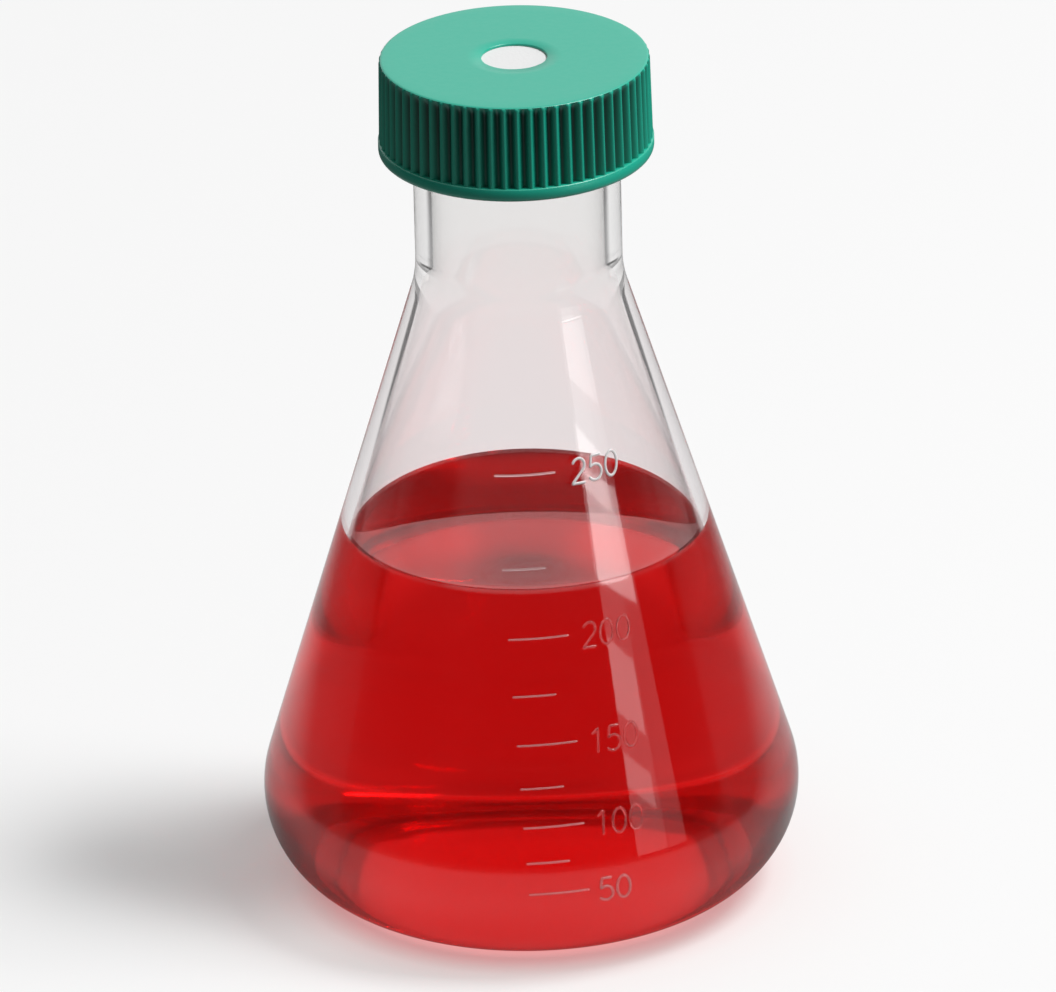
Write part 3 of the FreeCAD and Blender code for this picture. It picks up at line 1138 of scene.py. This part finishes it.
@dataclass(frozen=True)
class Table:
    """The pale table top, which runs far beyond the picture.

    It is partly painted as lit, so that it stays pale. To light that went through the clear wall only, it
    has painted dark flanks, and painted shade beside the flask and in the far corners. To mirror images it
    has painted shade under the foot and far out. The red light under and round the foot is painted, with a
    deep spot of painted shade and a dim patch of painted shadow behind it that show through the liquid only.

    Pairs are distances from the axis, or from the middle of a spot, over which something changes; those of
    the slant are directions from straight back in radians. Levels are shares of brightness, and glow is the
    painted share in the cast shadow and out of it. Light with fewer transmissions than wall_depth went
    through the wall only.
    """

    half: float = 3.0
    pale: float = 0.935
    bounce: float = 0.18
    flank: tuple[float, float, float, float] = (0.2, 0.25, 0.32, 0.37)
    flank_depth: float = 0.28
    flank_reach: Pair = (0.16, 0.26)
    flank_level: float = 0.1
    slant: Pair = (0.76, 0.915)
    slant_end: Pair = (1.2, 2.0)
    slant_reach: Pair = (0.12, 0.18)
    slant_level: float = 0.4
    corner_side: Pair = (0.29, 0.36)
    corner_depth: Pair = (0.36, 0.46)
    corner_level: float = 0.45
    wall_depth: float = 3.0
    mirror_near: Pair = (0.034, 0.058)
    mirror_far: Pair = (0.12, 0.3)
    mirror_levels: Triple = (0.18, 0.6, 0.12)
    shadow: Triple = (-0.052, 0.012, 0.0)
    shadow_reach: Pair = (0.012, 0.045)
    glow: Pair = (0.35, 0.7)
    under_reach: Pair = (0.03, 0.037)
    # painted shade: a deep spot behind the foot, and a dim patch of painted shadow behind the flask
    dark_spot: Triple = (0.0, 0.036, 0.0)
    dark_reach: Pair = (0.004, 0.015)
    dark_colour: Triple = (0.45, 0.04, 0.04)
    dim_spot: Triple = (0.0, 0.062, 0.0)
    dim_squeeze: Triple = (3.0, 1.0, 1.0)
    dim_reach: Pair = (0.018, 0.036)
    dim_level: float = 0.6
    # painted red light round the foot, darkest under it
    contact: tuple[tuple[float, Triple], ...] = (
        (0.0, (0.25, 0.02, 0.02)), (0.014, (0.25, 0.02, 0.02)), (0.02, (0.45, 0.07, 0.07)),
        (0.027, (0.85, 0.25, 0.25)), (0.033, (0.93, 0.5, 0.5)), (0.036, (0.95, 0.7, 0.69)),
        (0.038, (1.0, 0.84, 0.83)), (0.042, (1.0, 0.93, 0.92)), (0.048, (1.0, 0.96, 0.955)),
        (0.056, (1.0, 0.985, 0.98)), (0.07, (1.0, 1.0, 1.0)))
    contact_reach: float = 0.1

    def wall_level(self, graph: Graph, place: Socket, away: Socket) -> Socket:
        """Brightness of the table as the clear wall's edges see it, between painted dark flanks.

        Args:
            graph: the material's node graph.
            place: its coordinates.
            away: distance from the axis.
        Returns:
            The output socket that gives the brightness.
        """
        x, y, _ = graph.parts(place)
        side = graph.math("ABSOLUTE", x)
        rising = graph.span(side, *self.flank[:2], eased=True)
        falling = graph.span(side, *self.flank[2:], 1.0, 0.0, eased=True)
        offset = graph.math("ABSOLUTE", graph.math("SUBTRACT", y, self.flank_depth))
        middle = graph.span(offset, *self.flank_reach, 1.0, 0.0, eased=True)
        flank = graph.math("MULTIPLY", graph.math("MULTIPLY", rising, falling), middle)
        turned = graph.math("ARCTAN2", side, y)
        slanted = graph.span(turned, *self.slant_end, graph.span(turned, *self.slant), 0.0, eased=True)
        wide = graph.span(away, *self.slant_reach, 1.0, self.slant_level)
        outer = graph.span(side, *self.corner_side, eased=True)
        farther = graph.span(y, *self.corner_depth, 0.0, outer, eased=True)
        corner = graph.blend(farther, graph.blend(slanted, 1.0, wide), self.corner_level)
        return graph.blend(flank, corner, self.flank_level)

    def painting(self, graph: Graph, place: Socket, away: Socket, unseen: Socket) -> tuple[Socket, Socket]:
        """Colour of the painted light: red near the foot, with painted shade in a deep spot and a dim patch
        behind it.

        Args:
            graph: the material's node graph.
            place: its coordinates.
            away: distance from the axis.
            unseen: 0 to the camera, which doesn't see spot and patch, and 1 to other light.
        Returns:
            The output sockets that give the colour and the share of the deep spot.
        """
        tint = graph.add("ValToRGB", {"Fac": graph.math("MULTIPLY", away, 1 / self.contact_reach)})
        stops = tint.color_ramp.elements
        for radius, colour in self.contact:
            stops.new(radius / self.contact_reach).color = (*colour, 1)
        stops.remove(stops[0])
        hidden = graph.vector("DISTANCE", place, self.dark_spot)
        dark = graph.span(hidden, *self.dark_reach, unseen, 0.0, eased=True)
        deep = graph.mix(dark, tint.outputs["Color"], (*self.dark_colour, 1))
        squeezed = graph.vector("MULTIPLY", place, self.dim_squeeze)
        behind = graph.vector("DISTANCE", squeezed, self.dim_spot)
        dim = graph.span(behind, *self.dim_reach, unseen, 0.0, eased=True)
        grey = (self.dim_level, self.dim_level, self.dim_level, 1)
        return graph.mix(dim, deep, grey, "MULTIPLY"), dark

    def build(self) -> None:
        """Makes the table top and its material, part scattering and part painted."""
        corners = self.half * np.array([[-1, -1, 0], [1, -1, 0], [1, 1, 0], [-1, 1, 0]])
        piece, graph = staged("floor", corners, [[0, 1, 2, 3]])
        path, place = graph.add("LightPath").outputs, graph.place()
        away = graph.vector("LENGTH", place)
        thin = graph.math("LESS_THAN", path["Transmission Depth"], self.wall_depth)
        through = graph.blend(thin, 1.0, self.wall_level(graph, place, away))
        # painted reflection: the table is darker under the foot and far out in mirror images
        near = graph.span(away, *self.mirror_near, *self.mirror_levels[:2], eased=True)
        mirrored = graph.span(away, *self.mirror_far, near, self.mirror_levels[2], eased=True)
        reflected = graph.math("SUBTRACT", path["Is Glossy Ray"], path["Is Transmission Ray"])
        indirect = graph.blend(reflected, through, mirrored)
        albedo = graph.math("MULTIPLY", graph.blend(path["Is Camera Ray"], indirect, 1.0), self.pale)
        scattered = graph.blend(path["Is Diffuse Ray"], albedo, self.bounce)
        surface = graph.add("BsdfDiffuse", {"Color": scattered})
        unseen = graph.math("SUBTRACT", 1.0, path["Is Camera Ray"])
        colour, dark = self.painting(graph, place, away, unseen)
        glow = graph.add("Emission", {"Color": colour, "Strength": albedo})
        shaded = graph.vector("DISTANCE", place, self.shadow)
        lit = graph.span(shaded, *self.shadow_reach, *self.glow, eased=True)
        under = graph.span(away, *self.under_reach, 1.0, 0.0)
        painted = graph.math("MAXIMUM", lit, graph.math("MAXIMUM", dark, under))
        share = graph.blend(path["Is Diffuse Ray"], painted, 0.0)
        mixed = graph.add("MixShader", {0: share, 1: surface.outputs[0], 2: glow.outputs[0]})
        graph.end(mixed)
        piece.data.materials[0].cycles.emission_sampling = "NONE"


@dataclass(frozen=True)
class FlagCard:
    """A dark card round the back, seen only in mirror images: a painted reflection that keeps the liquid's
    far edge deep red.

    It follows the inside of the cone, and its height falls off from straight back as a power of the cosine.
    Lengths are in mm and angles in degrees.
    """

    sizes: FlaskSizes = field(default_factory=FlaskSizes)
    gap: float = 0.4
    sweep: Pair = (95.0, 265.0)
    columns: int = 47
    bottom: float = 61.0
    rise: float = 8.6
    taper: float = 0.7

    def build(self) -> None:
        """Makes the card."""
        s = self.sizes
        inside = Wall(s, s.wall + self.gap, s.base, s.neck_wall)
        turn = np.radians(np.linspace(*self.sweep, self.columns))
        share = np.maximum(-np.cos(turn), 0) ** self.taper
        height = self.bottom + np.array([[0.0], [self.rise]]) * share
        radius = inside.radius(height)
        points = np.stack([radius * np.sin(turn), -radius * np.cos(turn), height], axis=-1)
        first = np.arange(self.columns - 1)
        faces = np.column_stack([first, first + 1, first + 1 + self.columns, first + self.columns])
        # painted dark reflection: a black card that only mirror images see
        piece, graph = staged("flag", points.reshape(-1, 3) * MM, faces.tolist())
        surface = graph.add("BsdfDiffuse", {"Color": (0.0, 0.0, 0.0, 1)})
        graph.end(surface)
        piece.visible_camera = piece.visible_diffuse = False
        piece.visible_transmission = piece.visible_shadow = False


@dataclass(frozen=True)
class Backdrop:
    """What lies round the table: pale behind and above, dark in front, with a light room far in front.

    Front and back are its levels to mirror images, side and room those to light through clear parts, and
    fill those to scattered light, at the horizon and overhead. The other pairs are shares of the backward
    or upward direction over which the level changes.
    """

    front: float = 0.03
    back: float = 1.0
    side: float = 0.25
    room: float = 0.85
    fill: Pair = (0.05, 0.3)
    behind: Pair = (0.35, 0.8)
    above: Pair = (0.35, 0.7)
    beyond: Pair = (-0.1, 0.5)
    before: Pair = (-0.5, -0.7)

    def build(self) -> None:
        """Fills the world."""
        world = bpy.data.worlds.new("studio")
        bpy.context.scene.world = world
        world.use_nodes = True
        graph = Graph(world.node_tree)
        path = graph.add("LightPath").outputs
        _, y, z = graph.parts(graph.add("TexCoord").outputs["Generated"])
        behind = graph.span(y, *self.behind, self.front, self.back, eased=True)
        above = graph.span(z, *self.above, self.front, self.back, eased=True)
        mirror = graph.math("MAXIMUM", behind, above)
        beyond = graph.span(y, *self.beyond, self.side, self.back)
        before = graph.span(y, *self.before, 0.0, self.room)
        through = graph.math("MAXIMUM", beyond, before)
        glossy, transmitted = path["Is Glossy Ray"], path["Is Transmission Ray"]
        level = graph.blend(graph.math("SUBTRACT", glossy, transmitted), through, mirror)
        seen = graph.math("MAXIMUM", graph.math("MAXIMUM", glossy, transmitted), path["Is Camera Ray"])
        strength = graph.blend(seen, graph.blend(z, *self.fill), level)
        background = graph.add("Background", {"Color": (1, 1, 1, 1), "Strength": strength})
        graph.add("OutputWorld", {"Surface": background.outputs[0]})


class Shows(Enum):
    """What a lamp does."""

    EVERYWHERE = "lights things and has mirror images"
    AS_LIGHT = "lights things only"
    AS_IMAGE = "has mirror images only"


@dataclass(frozen=True)
class Lamp:
    """A rectangular lamp that faces a point on the axis, at the height of its aim.

    Azimuth and elevation are its direction from there, and turn is its turn about the way it faces, all in
    degrees. Size is width and height, and power is in watts.
    """

    name: str
    azimuth: float
    aim: float
    size: Pair
    power: float
    turn: float = 0.0
    elevation: float = 8.0
    distance: float = 0.9
    shows: Shows = Shows.AS_IMAGE

    def build(self) -> None:
        """Makes the lamp."""
        turn, rise = math.radians(self.azimuth), math.radians(self.elevation)
        away = Vector((math.sin(turn) * math.cos(rise), -math.cos(turn) * math.cos(rise), math.sin(rise)))
        data = bpy.data.lights.new(self.name, "AREA")
        data.shape, data.energy = "RECTANGLE", self.power
        data.size, data.size_y = self.size
        lamp = bpy.data.objects.new(self.name, data)
        lamp.location = Vector((0, 0, self.aim)) + away * self.distance
        lamp.rotation_euler = away.to_track_quat("Z", "Y").to_euler()
        lamp.rotation_euler.rotate_axis("Z", math.radians(self.turn))
        lamp.visible_diffuse = self.shows is not Shows.AS_IMAGE
        lamp.visible_glossy = lamp.visible_transmission = self.shows is not Shows.AS_LIGHT
        bpy.context.scene.collection.objects.link(lamp)


PANE_TURN = -8.5
LAMPS = (
    Lamp("top", 84, 0.06, (0.8, 0.8), 46.0, elevation=60, distance=2.2, shows=Shows.EVERYWHERE),
    Lamp("side", 85, 0.1, (0.5, 0.8), 7.0, elevation=14, distance=1.6, shows=Shows.AS_LIGHT),
    Lamp("strip", 50, 0.06, (0.22, 0.5), 0.34),
    Lamp("side_strip", 61.5, 0.06, (0.14, 0.5), 0.13),
    Lamp("pane_1", 54, 0.08, (0.36, 0.02), 0.03, PANE_TURN),
    Lamp("pane_2", 51, 0.0598, (0.28, 0.0124), 0.0273, PANE_TURN),
    Lamp("pane_3", 54, 0.0402, (0.34, 0.0235), 0.0906, PANE_TURN),
    Lamp("pane_4", 49.5, 0.0183, (0.2, 0.0152), 0.0172, PANE_TURN),
    Lamp("pane_5", 49, -0.0002, (0.18, 0.0072), 0.0057, PANE_TURN),
)


@dataclass
class Studio:
    """Camera, table, backdrop and lamps."""

    viewpoint: Viewpoint = field(default_factory=Viewpoint)
    table: Table = field(default_factory=Table)
    card: FlagCard = field(default_factory=FlagCard)
    backdrop: Backdrop = field(default_factory=Backdrop)
    lamps: tuple[Lamp, ...] = LAMPS
    bounces: int = 96

    def build(self) -> None:
        """Sets up the whole studio, with enough bounces for light to cross the clear walls."""
        for part in (self.viewpoint, self.table, self.card, self.backdrop, *self.lamps):
            part.build()
        scene = bpy.context.scene
        scene.view_settings.view_transform = "Standard"
        scene.cycles.max_bounces = self.bounces
        scene.cycles.transmission_bounces = self.bounces
        scene.cycles.glossy_bounces = self.bounces


def main() -> None:
    """Builds every piece and the studio."""
    logging.basicConfig(level=logging.INFO, format="%(message)s")
    pieces = [*Flask().build(), Liquid().build(), *Cap().build()]
    Studio().build()


if __name__ == "__main__":
    main()
